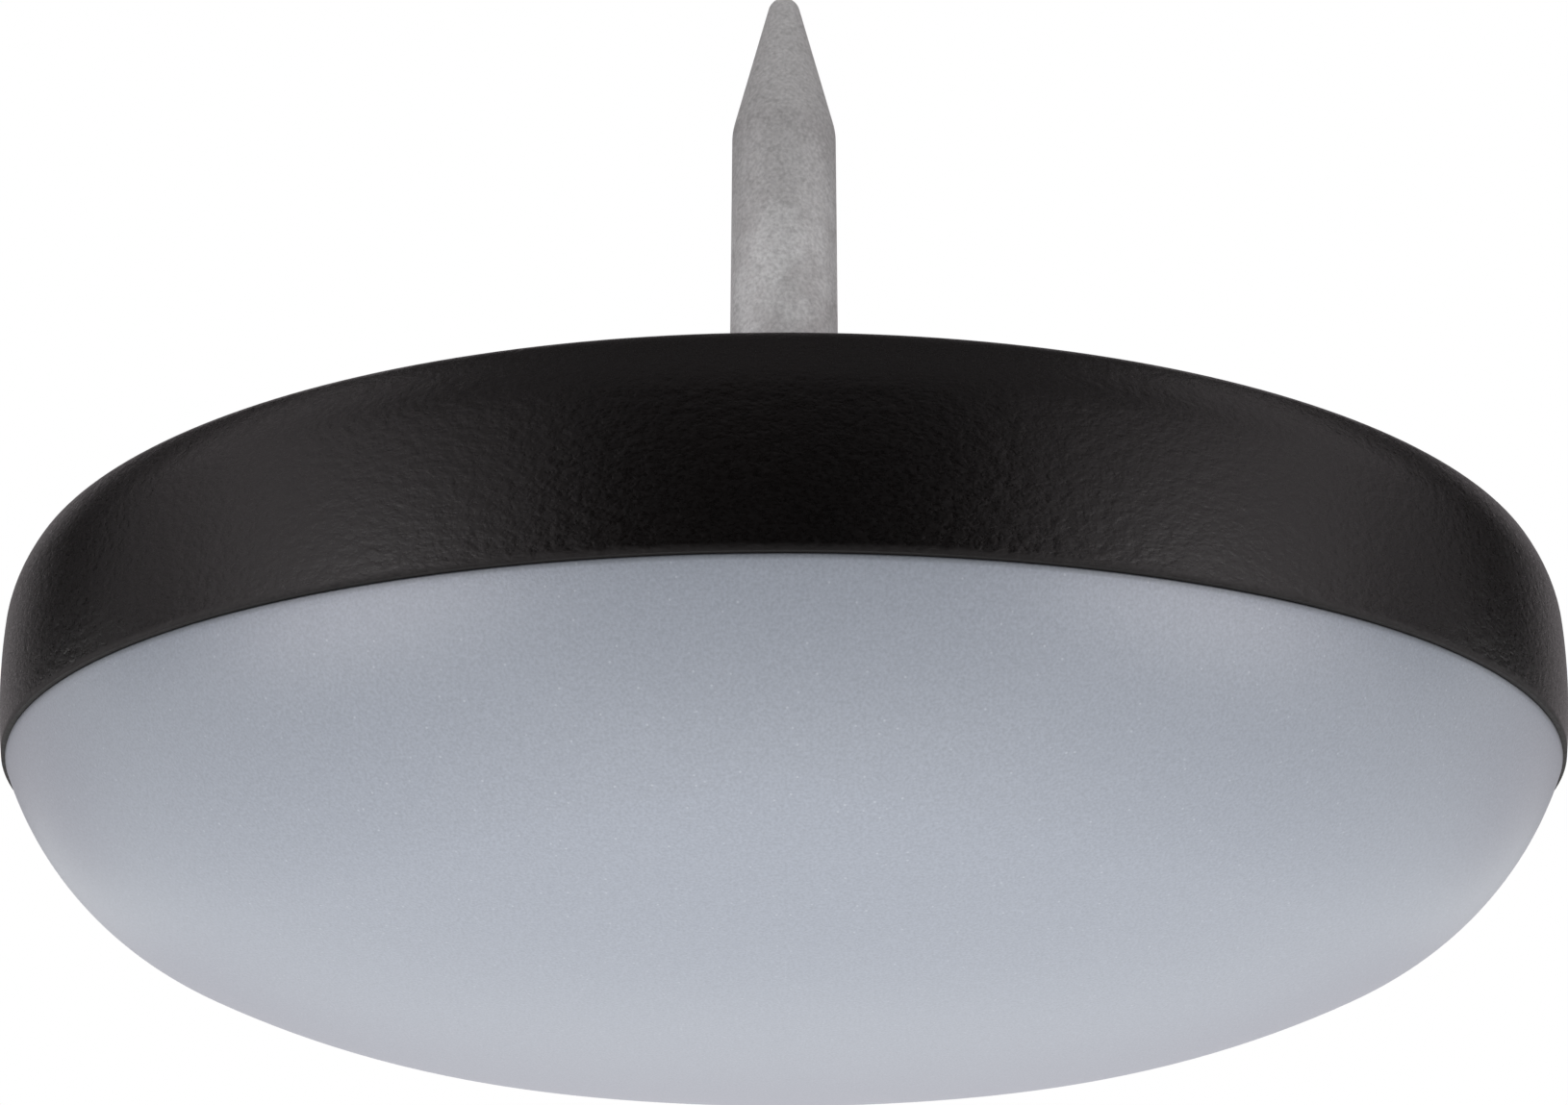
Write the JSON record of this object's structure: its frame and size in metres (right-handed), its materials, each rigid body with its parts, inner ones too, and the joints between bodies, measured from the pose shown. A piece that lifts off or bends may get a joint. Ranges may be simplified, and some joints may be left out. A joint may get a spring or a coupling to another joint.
{
  "type": "nail-on furniture glide",
  "caption": "Round glide for a furniture leg: a black moulded body with a grey domed PTFE sliding pad below and a steel nail standing out of its flat top.",
  "frame": {"origin": "lowest point of the sliding dome, on the nail's axis, where the glide meets the floor", "axes": "+Z along the nail towards its tip; X and Y are level, and the part is round about Z"},
  "size_m": [0.0254, 0.0254, 0.0211],
  "materials": {
    "body": "black moulded polypropylene with a fine satin grain",
    "slider": "matt blue-grey PTFE",
    "nail": "dull, cloudy zinc plating"
  },
  "bodies": {
    "root": {"body": "body", "slider": "slider", "nail": "nail"}
  },
  "joints": []
}
